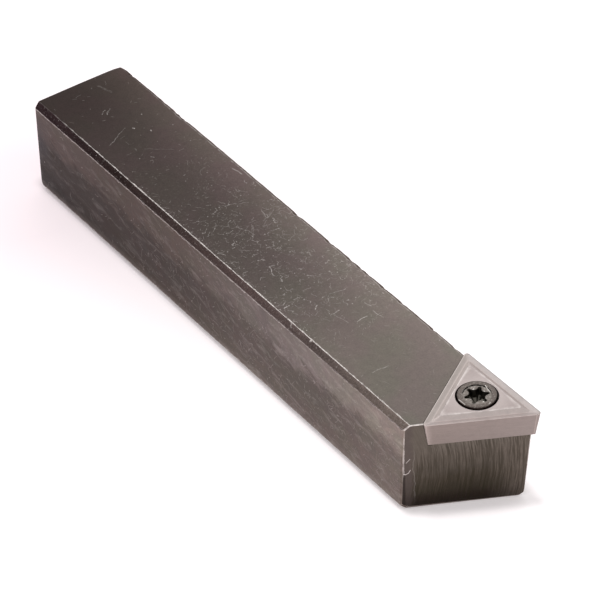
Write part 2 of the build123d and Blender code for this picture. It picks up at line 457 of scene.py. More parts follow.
def bar_points():
    """Stations along the bar, each an outline. Both ends close with a quarter round, whose radius changes round
    the outline: a point goes in by radius * (1 - cos a) and back by radius * (1 - sin a). x then slides from
    square to the skewed and leaning front plane, so the lines along the bar stay straight."""
    arc = np.linspace(0, 1, END_ROWS) * math.pi / 2
    nominal = bar_stations()
    relieved = np.clip((nominal - relief_start + 0.04) / 0.09, 0, 1)
    outline, columns = section_points(np.zeros(len(nominal)), relieved, CORNER_RADIUS)
    inward = (section_points(np.full(len(nominal), 0.1), relieved, CORNER_RADIUS)[0] - outline) / 0.1
    back_round, front_round = end_rounds(outline)
    station = np.broadcast_to(nominal[:, None], outline.shape[:2]).copy()
    inset = np.zeros(outline.shape[:2])
    station[:END_ROWS] = bar_back + back_round * (1 - np.sin(arc[::-1, None]))
    inset[:END_ROWS] = back_round * (1 - np.cos(arc[::-1, None]))
    station[-END_ROWS:] = front_at - front_round * (1 - np.sin(arc[:, None]))
    inset[-END_ROWS:] = front_round * (1 - np.cos(arc[:, None]))
    outline = outline + inward * inset[..., None]
    around, nearest, gap = edge_gaps(outline, columns)
    knock = np.take_along_axis(dents(nominal), nearest, axis=1)
    knock = knock * np.clip(1 - gap / CORNER_REACH[nearest], 0, 1)
    pull = np.array([0.0, bar_height / 2]) - outline
    pull /= np.linalg.norm(pull, axis=-1, keepdims=True)
    outline = outline + pull * knock[..., None]
    y, z = outline[..., 0], outline[..., 1]
    plane = front_at * math.cos(front_skew) - (bar_height - z) * math.tan(front_lean) + y * math.sin(front_skew)
    slide = np.clip((station - SLIDE_FROM) / (front_at - SLIDE_FROM), 0, 1)
    x = station + slide * (plane / math.cos(front_skew) - front_at)
    top_middle = 0.5 * (around[:, columns[4]] + around[:, columns[5]])[:, None]
    unrolled = np.stack([x, top_middle - around], axis=-1)
    return np.stack([x, y, z], axis=-1), unrolled, np.stack([gap, station], axis=-1)


bar_grid, bar_unrolled, bar_edges = bar_points()
print("bar grid:", bar_grid.shape, "front reaches x =", bar_grid[..., 0].max().round(3))

# %% [markdown]
# ## Cutting the pocket and the screw's hole
# The pocket is a milled step with a level floor and one leaning wall, with a narrow groove at the
# wall's foot so that the insert's lower edge never touches the corner. Below it a tapped hole takes
# the screw. Both are cut with Blender's exact Boolean, because a cut through a dense skin is hard
# to lay out by hand. The cutters carry the same UV maps, so the cut faces get sensible numbers too.
# An exact cut can fail without a word and return nothing, so the printed volume is worth a look.

# %% Cutters
CUTTER_REACH, TAP_COLUMNS, TAP_CREST, TAP_ROOT = 30.0, 48, 2.05, 1.66
CUT_UNROLLED, CUT_EDGE = [0.0, 90.0], [5.0, 1.0]  # numbers far from every edge, so cut faces show no wear


def pocket_cutter():
    """Long prism: its section lies across the pocket's wall and is carried along the wall."""
    lean = math.tan(insert_relief)
    top = apothem + wall_clearance
    foot = top - insert_thickness * lean
    broken, over = 0.02, 1.0
    dug, dug_from = pocket_floor - relief_groove_depth, foot - relief_groove_width
    section = np.array([
        (-CUTTER_REACH, pocket_floor), (dug_from, pocket_floor), (dug_from, dug), (foot, dug), (foot, pocket_floor),
        (top - broken * lean, bar_height - broken), (top + broken, bar_height),
        (top + broken + 0.2, bar_height + over), (-CUTTER_REACH, bar_height + over)])
    wall_direction = insert_turn + math.pi
    across = np.array([math.cos(wall_direction), math.sin(wall_direction)])
    along = np.array([-across[1], across[0]])
    ends = np.array([-CUTTER_REACH, CUTTER_REACH])
    flat = insert_middle + section[None, :, :1] * across + ends[:, None, None] * along
    points = np.concatenate([flat, np.broadcast_to(section[None, :, 1:], (2, len(section), 1))], axis=-1)
    return build_mesh("pocket_cutter", points, closed_faces(2, len(section)))


def helix_radius(angle, height, crest, root, pitch):
    """Radius of a right-hand thread: along the axis it rises and falls once a pitch, and a full turn
    moves the pattern up by one pitch."""
    phase = (height / pitch - angle / (2 * math.pi)) % 1.0
    flank = np.clip((np.abs(phase - 0.5) * 2 - 0.06) / 0.82, 0, 1)
    return root + (crest - root) * (1 - flank)


def tap_cutter():
    """Rod whose skin is the thread that a tap leaves in the bar."""
    angle = np.linspace(0, 2 * math.pi, TAP_COLUMNS, endpoint=False)
    height = np.arange(-1.0, pocket_floor + 1.0, thread_pitch / 8)
    radius = helix_radius(angle[None], height[:, None], TAP_CREST, TAP_ROOT, thread_pitch)
    ring = np.stack([insert_middle[0] + radius * np.cos(angle), insert_middle[1] + radius * np.sin(angle),
                     np.broadcast_to(height[:, None], radius.shape)], axis=-1)
    return build_mesh("tap_cutter", ring, closed_faces(*radius.shape))


print("pocket floor at", pocket_floor, "mm; tapped thread from radius", TAP_ROOT, "to", TAP_CREST, "mm")

# %% Cut the bar
FINISHES = ["rubbed_black_oxide", "mottled_black_oxide", "fresh_black_oxide", "fly_cut_black_oxide",
            "sawn_black_oxide", "milled_black_oxide", "tapped_black_oxide"]
FLAT_FINISH = np.array([1, 2, 1, 2, 0, 2, 1, 2])  # for the flats from the base round by the right
END_FINISH, POCKET_FINISH = [4, 3], 5


def cut_bar():
    """Bar skin with closed ends, minus both cutters. Each face gets the number of its finish."""
    rows, n = bar_grid.shape[:2]
    data = build_mesh("shank_bar", bar_grid, [face[::-1] for face in closed_faces(rows, n)])
    add_uv(data, "unrolled", bar_unrolled)
    add_uv(data, "edge", bar_edges)
    side = (np.searchsorted(corner_columns, np.arange(n), side="right") - 1) % 8
    finish = np.concatenate([np.tile(FLAT_FINISH[side], rows - 1), END_FINISH]).astype(np.int32)
    data.polygons.foreach_set("material_index", finish)
    bar = place_piece(data, "shank_bar")
    cutters = []
    for number, cutter in enumerate((pocket_cutter(), tap_cutter()), start=POCKET_FINISH):
        for name, value in (("unrolled", CUT_UNROLLED), ("edge", CUT_EDGE)):
            add_uv(cutter, name, np.tile(value, (len(cutter.vertices), 1)))
        cutter.polygons.foreach_set("material_index", np.full(len(cutter.polygons), number, dtype=np.int32))
        cutters.append(place_piece(cutter, cutter.name))
    for mesh in [data] + [tool.data for tool in cutters]:
        for name in FINISHES:
            mesh.materials.append(bpy.data.materials.get(name) or bpy.data.materials.new(name))
    for tool in cutters:
        cut = bar.modifiers.new(tool.name, "BOOLEAN")
        cut.operation, cut.solver, cut.material_mode, cut.object = "DIFFERENCE", "EXACT", "INDEX", tool
    bpy.context.view_layer.update()
    result = bpy.data.meshes.new_from_object(bar.evaluated_get(bpy.context.evaluated_depsgraph_get()))
    for leftover in [bar] + cutters:
        mesh = leftover.data
        bpy.data.objects.remove(leftover)
        bpy.data.meshes.remove(mesh)
    result.name = "shank_body"
    result.set_sharp_from_angle(angle=math.radians(30))
    return place_piece(result, "shank_body")


shank_body = cut_bar()
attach(shank_body, "root")
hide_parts("shank")
print("bar:", len(shank_body.data.polygons), "faces,", round(volume_of(shank_body.data), 1), "cubic mm")

# %% [markdown]
# ## The insert
# A turning insert is pressed and sintered carbide: a three-cornered plate whose sides lean inwards
# below the cutting edges. Its top has a chip groove, which falls away behind the edge and rises to a
# proud plateau. It could be a lofted solid, but the small radii on its edges are what makes it
# sparkle, so it is a profile carried round a rounded triangle. Near the hole the rows are circles,
# and on the plateau one row of squares turns the circle into the triangle.

# %% Insert rows
PLAN_ARC_STEPS, PLAN_SIDE_STEPS, PROFILE_STEPS = 20, 56, 5


def triangle_row(reach, corner):
    """Rounded triangle whose sides are reach from its middle. Its corners point at 0, 120 and 240 degrees,
    and each arc's centre lies 2 * (reach - corner) out."""
    out = np.arange(3)[:, None] * 2 * math.pi / 3
    angle = out + np.linspace(-1, 1, PLAN_ARC_STEPS + 1) * math.pi / 3
    away = 2 * (reach - corner)
    arc = np.stack([away * np.cos(out) + corner * np.cos(angle), away * np.sin(out) + corner * np.sin(angle)],
                   axis=-1)
    following = np.roll(arc[:, 0], -1, axis=0)[:, None]
    share = np.linspace(0, 1, PLAN_SIDE_STEPS + 1)[1:-1, None]
    side = arc[:, -1][:, None] * (1 - share) + following * share
    return np.concatenate([arc, side], axis=1).reshape(-1, 2)


def insert_points():
    """Profile (distance from the middle, height above the cutting edges) with small radii, carried round."""
    foot = apothem - insert_thickness * math.tan(insert_relief)
    sink_depth = (sink_radius - hole_radius) / sink_slope
    table = np.array([  # distance, height, radius, round row, plan radius of the triangle's corners
        (hole_radius, -insert_thickness, 0.10, 1, 0),
        (hole_radius, plateau_rise - sink_depth, 0.15, 1, 0),
        (sink_radius, plateau_rise, 0.05, 1, 0),
        (apothem - ridge_inset, plateau_rise, 0.10, 0, ridge_corner),
        (apothem - 0.86, -0.16, 0.05, 0, 0.24),
        (apothem - 0.75, -0.16, 0.05, 0, 0.24),
        (apothem - 0.15, 0.0, 0.10, 0, 0.28),
        (apothem, 0.0, 0.035, 0, nose_radius),
        (foot, -insert_thickness, 0.06, 0, 0.10)])
    rows = rounded(table[:, :2], table[:, 2], PROFILE_STEPS)
    ridge = triangle_row(apothem - ridge_inset, ridge_corner)
    angle = np.arctan2(ridge[:, 1], ridge[:, 0])
    rings, along = [], []
    for corner in range(len(table)):
        for distance, height in rows[corner]:
            if table[corner, 3]:
                flat = distance * np.stack([np.cos(angle), np.sin(angle)], axis=-1)
            else:
                flat = triangle_row(distance, table[corner, 4])
            rings.append(np.column_stack([flat, np.full(len(flat), height)]))
            along.append((distance, height))
    rings, along = np.array(rings), np.array(along)
    step = np.linalg.norm(np.diff(along, axis=0, prepend=along[:1]), axis=1)
    travelled = np.cumsum(step)
    cosine, sine = math.cos(insert_turn), math.sin(insert_turn)
    turn = np.array([[cosine, sine], [-sine, cosine]])
    rings[..., :2] = rings[..., :2] @ turn + insert_middle
    rings[..., 2] += bar_height
    around = np.broadcast_to(np.linspace(0, 3, rings.shape[1], endpoint=False), rings.shape[:2])
    unrolled = np.stack([around, np.broadcast_to(travelled[:, None], rings.shape[:2])], axis=-1)
    return rings, unrolled


insert_grid, insert_unrolled = insert_points()
insert_faces = grid_faces(*insert_grid.shape[:2], join_rows=True).tolist()
insert_data = build_mesh("insert_plate", insert_grid, insert_faces, sharp=40)
add_uv(insert_data, "unrolled", insert_unrolled)
insert_plate = place_piece(insert_data, "insert_plate")
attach(insert_plate, "root")
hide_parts("insert")
print("insert:", insert_grid.shape, round(volume_of(insert_data), 2), "cubic mm")

# %% [markdown]
# ## The screw
# The screw is small: an M4 thread, a flat head with a rounded edge, and a six-lobe socket with a coned
# floor, in a shallow round recess. It could be cut from solids, but head, socket and thread are all a
# radius that depends on the angle and the row. So the whole screw is one sheet, from the bottom of
# the socket, over the head, down to its end.

# %% Screw rows
LOBE_RADIUS, SOCKET_REACH, SOCKET_INNER = 0.27, 1.75, 1.13
RECESS_RADIUS, RIM_ROUND, HEAD_ROUND = 2.02, 0.05, 0.16
CREST_RADIUS, ROOT_RADIUS, END_RADIUS, SCREW_COLUMNS = 1.985, 1.60, 1.46, 216


def star_radius(angle):
    """Six-lobe socket: round lobes and hollow arcs that meet smoothly. A ray from the middle meets a circle
    of radius r, whose centre is d away, at d cos(angle) plus or minus the root of r^2 - (d sin(angle))^2."""
    lobe, reach, inner = LOBE_RADIUS, SOCKET_REACH - LOBE_RADIUS, SOCKET_INNER
    cosine = math.cos(math.radians(30))
    hollow = (reach**2 + inner**2 - 2 * reach * inner * cosine - lobe**2) / (2 * (lobe - inner + reach * cosine))
    away = inner + hollow
    from_lobe = (angle + math.pi / 6) % (math.pi / 3) - math.pi / 6
    from_hollow = angle % (math.pi / 3) - math.pi / 6
    meet = np.array([reach, 0]) + (away * np.array([cosine, 0.5]) - np.array([reach, 0])) * lobe / (hollow + lobe)
    edge = math.atan2(meet[1], meet[0])
    outer = reach * np.cos(from_lobe) + np.sqrt(np.clip(lobe**2 - (reach * np.sin(from_lobe)) ** 2, 0, None))
    inward = away * np.cos(from_hollow) - np.sqrt(np.clip(hollow**2 - (away * np.sin(from_hollow)) ** 2, 0, None))
    return np.where(np.abs(from_lobe) <= edge, outer, inward)


def screw_points():
    """Rows from the socket's floor to the screw's end: radius and height for every angle. The second result
    is, for each point, the distance outside the socket's star and the distance from the axis."""
    angle = np.linspace(0, 2 * math.pi, SCREW_COLUMNS, endpoint=False)
    star, floor, mouth = star_radius(angle - socket_turn), recess_floor, RECESS_RADIUS
    rows = [  # the socket from its bottom, and the recess
        (star * 0.04, -2.15), (star * 0.50, -1.85), (star * 0.93, -1.50), (star * 0.96, -0.7), (star, floor - 0.1),
        (star + 0.02, floor - 0.035), (star + 0.05, floor - 0.02), (star * 0.4 + (mouth - 0.05) * 0.6, floor - 0.01),
        (mouth - 0.03, floor), (mouth, floor + 0.03)]
    rows += [(mouth + RIM_ROUND * (1 - math.cos(t)), -RIM_ROUND * (1 - math.sin(t)))
             for t in np.linspace(0, math.pi / 2, 4)]
    rows += [(2.15, 0.0), (2.45, 0.0)]
    rows += [(head_radius - HEAD_ROUND + HEAD_ROUND * math.sin(t), HEAD_ROUND * (math.cos(t) - 1))
             for t in np.linspace(0, math.pi / 2, 6)]
    seat = (sink_radius - head_clearance - head_radius) / sink_slope + head_stand
    neck = seat + (head_radius - shaft_radius) / sink_slope
    rows += [(head_radius, -seat + 0.03), (head_radius - 0.02, -seat - 0.03)]
    rows += [(shaft_radius + 0.02, -neck + 0.02), (shaft_radius - 0.02, -neck - 0.05)]
    height = np.arange(-neck - 0.12, screw_end + 0.02, -thread_pitch / 10)
    runout = np.clip((-height - neck) / thread_pitch, 0, 1)
    taper = shaft_radius - np.clip(screw_end + 0.5 - height, 0, 0.5)
    cut = helix_radius(angle[None], height[:, None] + screw_top, CREST_RADIUS, ROOT_RADIUS, thread_pitch)
    thread = np.minimum(CREST_RADIUS - (CREST_RADIUS - cut) * runout[:, None], taper[:, None])
    rows += [*zip(thread, height), (END_RADIUS, screw_end)]
    radius, level = (np.array([np.broadcast_to(part, SCREW_COLUMNS) for part in column]) for column in zip(*rows))
    points = np.stack([insert_middle[0] + radius * np.cos(angle), insert_middle[1] + radius * np.sin(angle),
                       screw_top + level], axis=-1)
    return points, np.stack([radius - star, radius], axis=-1)


screw_grid, screw_reach = screw_points()
screw_data = build_mesh("screw_body", screw_grid, closed_faces(*screw_grid.shape[:2]), sharp=35)
add_uv(screw_data, "reach", screw_reach)
screw_body = place_piece(screw_data, "screw_body")
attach(screw_body, "root")
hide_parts("insert_screw")
print("screw:", screw_grid.shape, round(volume_of(screw_data), 2), "cubic mm")

# %% [markdown]
# ## Patterns of wear
# Scratches could be painted by hand, but a pattern of cells does it as well: each cell holds one
# short line with a random turn and length, and a random number decides if it is there at all. The
# few marks that stand out get strokes of their own, each a distance from a segment.

# %% Pattern helpers
def band(node, value, low, high, soft):
    """1 between low and high, fading over soft at both ends: a rise times a fall."""
    rise = node("ramp", value, low - soft, low + soft)
    fall = node("ramp", value, high + soft, high - soft)
    return node("times", rise, fall)


def cell_pattern(node, place, cell, shift):
    """Random cells, cell millimetres wide: the scaled place, the cells, and three random numbers for each."""
    scaled = node("shift", place, (1 / cell,) * 3, (shift, 1.7 * shift, 0))
    cells = node("TexVoronoi", {"Vector": scaled, "Scale": 1.0, "Randomness": 1.0}, out=None, voronoi_dimensions="2D")
    return scaled, cells, node("SeparateColor", cells.outputs["Color"], out=None)


def scratches(node, place, cell, length, width, share, shift):
    """Random straight scratches, at most one to a cell. The offset from the cell's seed is turned by a random
    angle, and the scratch is where it lies within half a length along and half a width across."""
    scaled, cells, chance = cell_pattern(node, place, cell, shift)
    offset = node("VectorMath", scaled, cells.outputs["Position"], operation="SUBTRACT")
    angle = node("times", chance.outputs[0], 2 * math.pi)
    turned = node("turn", offset, angle)
    turned = node("VectorMath", turned, operation="ABSOLUTE")
    parts = node("SeparateXYZ", turned, out=None)
    reach = node("plus", chance.outputs[1], 0.35 * length / cell, 0.15 * length / cell)
    within = node("minus", reach, parts.outputs[0])
    along = node("ramp", within, 0.0, 0.05)
    across = node("ramp", parts.outputs[1], 0.5 * width / cell, 0.0)
    there = node("Math", chance.outputs[2], share, operation="LESS_THAN")
    line = node("times", along, across)
    return node("times", line, there)


def specks(node, place, cell, radius, share, shift):
    """Small round marks: the distance from a cell's seed is less than the radius, in a share of the cells."""
    scaled, cells, chance = cell_pattern(node, place, cell, shift)
    size = node("times", chance.outputs[1], radius / cell)
    inside = node("minus", size, cells.outputs["Distance"])
    dot = node("ramp", inside, 0.0, 0.3 * radius / cell)
    there = node("Math", chance.outputs[2], share, operation="LESS_THAN")
    return node("times", dot, there)


def strokes(node, place, segments):
    """Single marks. Each is (start x, start y, end x, end y, width, strength): the nearest point of the segment
    is found with a clamped dot product, and the mark is where the distance to it is under half the width.
    The renderer keeps every number that it can already work out and has room for about 250 of them. So each
    fourth mark starts from a place that leans by a millionth on the marks before it, and has to wait for them."""
    total = None
    for k, (x0, y0, x1, y1, width, strength) in enumerate(segments):
        if k and k % 4 == 0:
            place = node("shift", total, (1e-6,) * 3, place)
        way = (x1 - x0, y1 - y0, 0.0)
        offset = node("VectorMath", place, (x0, y0, 0.0), operation="SUBTRACT")
        share = node("dot", offset, way)
        share = node("times", share, 1 / (way[0] ** 2 + way[1] ** 2), use_clamp=True)
        nearest = node("shade", way, share)
        gap = node("distance", offset, nearest)
        mark = node("ramp", gap, width / 2, width / 6, 0.0, strength)
        total = mark if total is None else node("largest", total, mark)
    return total


print("patterns: band, scratches, specks, strokes")

# %% [markdown]
# ## The bar's finish: worn black oxide
# The steel was blackened in a hot salt bath, which leaves a thin dark satin film of oxide. Handling
# and clamping have polished it off the flats towards the cutting end, and off every edge, while the
# chamfers kept it. So the finish is metal throughout, and its colour runs from the dark film to
# grey steel. Painted light is mixed in: the top is also lighter in front and towards its +Y edge as a
# painted reflection, the sides carry painted reflection and shade in bands, and the rubbed upper
# edges are brighter on the -Y side as a painted highlight. The unrolled map places everything in
# millimetres: u along the bar, v across the top, with the side faces beyond 8.3 mm. A second map gives
# the distance to the nearest long edge, where the film is rubbed through. Painting all this by hand
# would tie it to one picture, so noise does it.

# %% Bar finish
TOP_MARKS = [  # the scratches that stand out on the top: from x, y to x, y, width, strength
    (-41.3, -1.6, -42.0, -0.7, 0.20, 0.26), (-40.9, -1.0, -41.8, 0.1, 0.20, 0.26),
    (-47.5, 1.9, -45.2, 2.5, 0.5, 0.08), (-34.6, -4.7, -36.6, -0.8, 0.13, 0.26),
    (-28.6, -1.6, -28.2, -1.3, 0.16, 0.3), (-27.8, -2.3, -27.6, -1.9, 0.16, 0.3),
    (-30.6, -1.2, -28.0, 2.1, 0.12, 0.12), (-13.1, -0.4, -11.1, 3.4, 0.12, 0.22), (-8.6, 3.9, -6.6, 3.5, 0.14, 0.3),
    (-6.6, 3.5, -6.8, 4.4, 0.14, 0.3), (2.7, -1.9, 2.5, -2.6, 0.14, 0.34), (2.5, -2.6, 4.6, -3.3, 0.14, 0.4),
    (-1.1, -0.4, -0.8, 0.7, 0.14, 0.3), (-4.4, -6.5, -3.4, -6.1, 0.16, 0.5), (-19.0, 6.2, -17.1, 6.6, 0.26, 0.34),
    (-5.9, 0.7, -4.0, -0.8, 0.16, 0.16), (16.2, -1.9, 16.2, -0.5, 0.15, 0.35), (16.4, -1.7, 19.0, -1.0, 0.13, 0.28),
    (19.6, 0.1, 19.5, 1.9, 0.18, 0.42), (19.0, 3.1, 21.1, 3.4, 0.16, 0.38), (16.9, 3.3, 18.3, 3.6, 0.14, 0.34),
    (14.0, -3.0, 13.4, -2.3, 0.18, 0.5), (12.4, 0.5, 13.0, 3.0, 0.12, 0.28), (29.4, -4.7, 29.7, -2.1, 0.22, 0.22),
    (11.1, -6.2, 11.1, -5.3, 0.22, 0.7), (-35.7, 0.2, -35.65, 0.25, 0.34, 0.9), (-33.8, 2.0, -33.7, 2.0, 0.26, 0.5),
    (-1.6, -0.1, -1.5, -0.1, 0.22, 0.5), (6.0, -2.9, 6.1, -3.0, 0.34, 0.6), (-13.1, 3.5, -13.0, 3.5, 0.22, 0.45)]
SIDE_FROM, SCRATCH_DEPTH = 8.33, -0.006  # millimetres: where a side begins on the map, and a scratch's relief


def bar_place(name):
    """Node maker of a finish, the unrolled place in millimetres, its u and v, the distance to the nearest edge,
    and the station along the bar."""
    node = start_finish(name)
    place = node("UVMap", uv_map="unrolled")
    parts = node("SeparateXYZ", place, out=None)
    edge = node("SeparateXYZ", node("UVMap", uv_map="edge"), out=None)
    return node, place, parts.outputs[0], parts.outputs[1], edge.outputs[0], edge.outputs[1]


def along_bar(node, u, codes, first=-46.0, last=38.0):
    """Colour that changes along the bar through evenly spaced codes."""
    share = node("ramp", u, first, last)
    places = np.linspace(0, 1, len(codes))
    order = [0, len(codes) - 1] + list(range(1, len(codes) - 1))
    return node("ValToRGB", share, stops=[(float(places[k]), codes[k]) for k in order])


def edge_wear(node, place, gap, reach, width):
    """Rubbed line along an edge. It wanders up to reach away from the edge and breaks up; returns the line and
    the strip between it and the edge."""
    border = node("ramp", node("noise", place, 0.9, 5.0, 0.75), 0.38, 0.66, 0.0, reach)
    away = node("minus", gap, border)
    line = node("ramp", node("size", away), width, 0.4 * width)
    line = node("times", line, node("ramp", node("noise", place, 1.7, 3.0, 0.7), 0.32, 0.52, 0.35, 1.0))
    return line, node("ramp", away, 0.0, -0.4 * width)


def rubbed_top():
    """Top: dark film at the back, rubbed to grey steel in front, with specks and a tangle of scratches. Painted
    light lies over it: a painted reflection makes it lighter towards the front and towards the +Y edge. To the
    eye it is satin, quiet behind and brighter and busier towards the insert."""
    node, place, u, v, gap, station = bar_place("rubbed_black_oxide")
    grain = node("noise", place, 4.2, 3.0, 0.65)
    mottle = node("noise", place, 0.9, 4.0, 0.7)
    wobble = node("noise", place, 0.9, out="Color")
    bent = node("shift", wobble, (0.5, 0.5, 0), place)
    bent = node("VectorMath", bent, (0.25, 0.25, 0), operation="SUBTRACT")
    light = strokes(node, bent, TOP_MARKS)
    light = node("times", light, node("ramp", node("noise", place, 2.6), 0.36, 0.56, 0.3, 1.0))

    busy = node("times", node("ramp", u, -38.0, -6.0, 0.05, 0.55), node("ramp", u, 15.0, 27.0, 1.0, 0.2))
    cluster = node("ramp", node("noise", place, 0.26), 0.40, 0.60, 0.30, 1.0)
    beside = node("times", node("ramp", v, -5.4, -6.9, 0.0, 0.8), band(node, u, -24.0, 8.0, 3.0))
    busy = node("largest", node("times", busy, cluster), beside)
    fine = scratches(node, bent, 1.3, 1.3, 0.10, busy, 3.1)
    curly = node("noise", place, 0.7, out="Color")
    curly = node("shift", curly, (1.9, 1.9, 0), place)
    tangle = band(node, u, -14.0, 17.0, 5.0)
    dense = node("times", tangle, node("ramp", node("noise", place, 0.24, 3.0), 0.42, 0.56, 0.12, 1.0))
    hair = scratches(node, curly, 1.25, 1.8, 0.10, dense, 11.7)
    short = scratches(node, bent, 0.8, 0.6, 0.11, busy, 23.3)
    random = node("plus", short, 0.18, node("largest", node("times", fine, 0.16), node("times", hair, 0.36)))
    fuzz = node("times", node("ramp", node("noise", place, 2.3, 5.0, 0.75), 0.58, 0.72), busy)
    random = node("plus", fuzz, 0.30, random)
    dots = node("times", specks(node, place, 1.2, 0.12, busy, 7.9), 0.34)
    light = node("largest", light, random, dots)
    worn, lost = edge_wear(node, place, gap, 0.09, 0.07)
    worn = node("times", worn, node("ramp", node("noise", place, 0.45, 3.0, 0.6), 0.40, 0.56, 0.30, 1.0))
    # Painted highlight in part: the rubbed edge line is made brighter towards the -Y edge, where a lamp's glint
    # falls.
    worn = node("times", worn, node("ramp", v, 6.0, -6.0, 0.40, 1.0), node("ramp", u, -46.0, -34.0, 0.12, 1.0))
    end = node("times", node("ramp", station, 44.82, 44.90), node("ramp", mottle, 0.40, 0.55, 0.5, 0.95))
    light = node("largest", light, worn, end)

    # Painted light in part: the run from dark at the back to light in front is rubbed film and also a painted
    # reflection.
    colour = along_bar(node, u, ["#473C39", "#564B48", "#5E5350", "#6B615D", "#7A716B", "#7B736D"])
    share = node("ramp", v, -4.0, 7.0)
    share = node("times", share, share)
    # Painted light: the top is made lighter towards its +Y edge, most of all at the back.
    painted_light_across = node("Mix", {0: node("ramp", u, 2.0, 26.0), 2: node("plus", share, 0.70, 0.77),
                        3: node("plus", share, 0.20, 0.98)})
    colour = node("shade", colour, painted_light_across)
    hue = node("blend", node("ramp", node("noise", place, 0.13), 0.38, 0.62), (1.03, 0.985, 1.01, 1),
               (0.975, 1.01, 0.965, 1))
    colour = node("blend", 1.0, colour, hue, blend_type="MULTIPLY")
    vary = node("plus", mottle, 0.62, node("plus", grain, 0.44, 0.47))
    colour = node("shade", colour, vary)
    colour = node("blend", node("times", lost, node("ramp", v, 0.0, -1.0)), colour, "#4A3F3B")
    colour = node("blend", light, colour, "#EDE6E2")
    height = node("plus", light, SCRATCH_DEPTH, node("plus", mottle, 0.008, node("times", grain, 0.004)))
    finish_metal(node, colour, node("plus", mottle, 0.25, 0.33), height)


def mottled_sides():
    """Sides: brushed and stained film, with painted reflection and shade. Three rows of colours lie above each
    other and mix along ragged borders: the upper row is lighter where the side mirrors the lit table, and the
    middle and lower rows darker where it mirrors the shadow beside the bar. Streaks run along the bar and a
    little downwards. To the eye it is cloudy, with a paler upper half and a light line at the foot, which is a
    painted reflection. The far side was handled less, so its scratches are fainter."""
    node, place, u, v, gap, station = bar_place("mottled_black_oxide")
    down = node("minus", node("size", v), SIDE_FROM)
    slanted = node("turn", place, 0.16)
    streak = node("noise", node("stretch", slanted, (0.20, 0.42, 0.0)), 1.0, 5.0, 0.7, 0.6)
    ragged = node("plus", streak, 7.0, node("plus", node("ramp", u, 12.0, 30.0, 0.0, 0.8), 1.0, down))
    # Painted reflection and shade: the upper row is lighter, the middle and lower rows darker, as the side mirrors
    # lit table and shadow.
    upper = along_bar(node, u, ["#4C403B", "#4A3E38", "#52463F", "#625854", "#736965", "#82776F"])
    middle = along_bar(node, u, ["#2D231E", "#342924", "#3A2F2A", "#514641", "#534944", "#665B55"])
    lower = along_bar(node, u, ["#1F1613", "#30251E", "#42362F", "#594E48", "#5B504A", "#695D57"])
    colour = node("blend", node("ramp", ragged, 7.6, 9.8), upper, middle)
    colour = node("blend", node("ramp", ragged, 12.5, 16.5), colour, lower)
    blotch = node("noise", node("stretch", slanted, (0.34, 0.50, 0.0)), 1.0, 5.0, 0.7, 1.2)
    grain = node("noise", place, 3.2, 3.0, 0.7)
    vary = node("plus", blotch, 0.95, node("plus", grain, 0.50, 0.24))
    colour = node("shade", colour, vary)
    hue = node("blend", node("ramp", node("noise", place, 0.2), 0.38, 0.62), (1.03, 0.985, 1.015, 1),
               (0.98, 1.01, 0.97, 1))
    colour = node("blend", 1.0, colour, hue, blend_type="MULTIPLY")

    # Painted reflection: a light line at the foot, where the side mirrors the bright table.
    foot = node("times", node("ramp", down, 13.0, 14.8), 0.30)
    colour = node("blend", foot, colour, "#8F847E")
    blue = node("times", node("ramp", u, -46.0, -49.5), band(node, down, 3.0, 9.0, 2.0), 0.4)
    colour = node("blend", blue, colour, "#3E3D47")

    rubbed = node("ramp", node("noise", node("stretch", slanted, (0.24, 0.8, 0.0)), 1.0, 5.0, 0.7, 0.35), 0.52, 0.75)
    rubbed = node("times", rubbed, node("ramp", u, -40.0, 20.0, 0.08, 0.16))
    busy = node("times", node("ramp", u, -36.0, 0.0, 0.08, 0.50), node("ramp", down, 1.0, 4.0, 0.3, 1.0))
    bent = node("noise", place, 0.6, 1.0, out="Color")
    bent = node("shift", bent, (1.4, 1.4, 0), place)
    seen = node("ramp", v, -1.0, 1.0, 0.20, 0.06)
    fine = node("times", scratches(node, bent, 1.6, 1.9, 0.12, busy, 5.3), seen)
    short = node("times", scratches(node, bent, 0.9, 0.8, 0.13, busy, 17.9), seen)
    dots = node("times", specks(node, place, 1.4, 0.13, node("ramp", u, -40.0, 10.0, 0.08, 0.25), 2.7), 0.26)
    worn, lost = edge_wear(node, place, gap, 0.22, 0.11)
    worn = node("times", worn, node("ramp", u, 6.0, 24.0, 0.55, 0.25))
    front = node("times", node("ramp", station, 44.93, 45.0),
                 node("ramp", node("noise", place, 0.9, 3.0), 0.35, 0.6, 0.1, 0.8))
    front = node("times", front, node("ramp", down, 6.5, 9.5, 0.75, 0.12))
    colour = node("blend", node("times", lost, node("ramp", down, 3.0, 2.0)), colour, "#42373B")
    light = node("largest", rubbed, fine, short, dots, worn, front)
    colour = node("blend", light, colour, "#D8CFCB")
    height = node("plus", light, SCRATCH_DEPTH, node("plus", blotch, 0.010, node("times", grain, 0.005)))
    finish_metal(node, colour, node("plus", blotch, 0.25, 0.34), height)


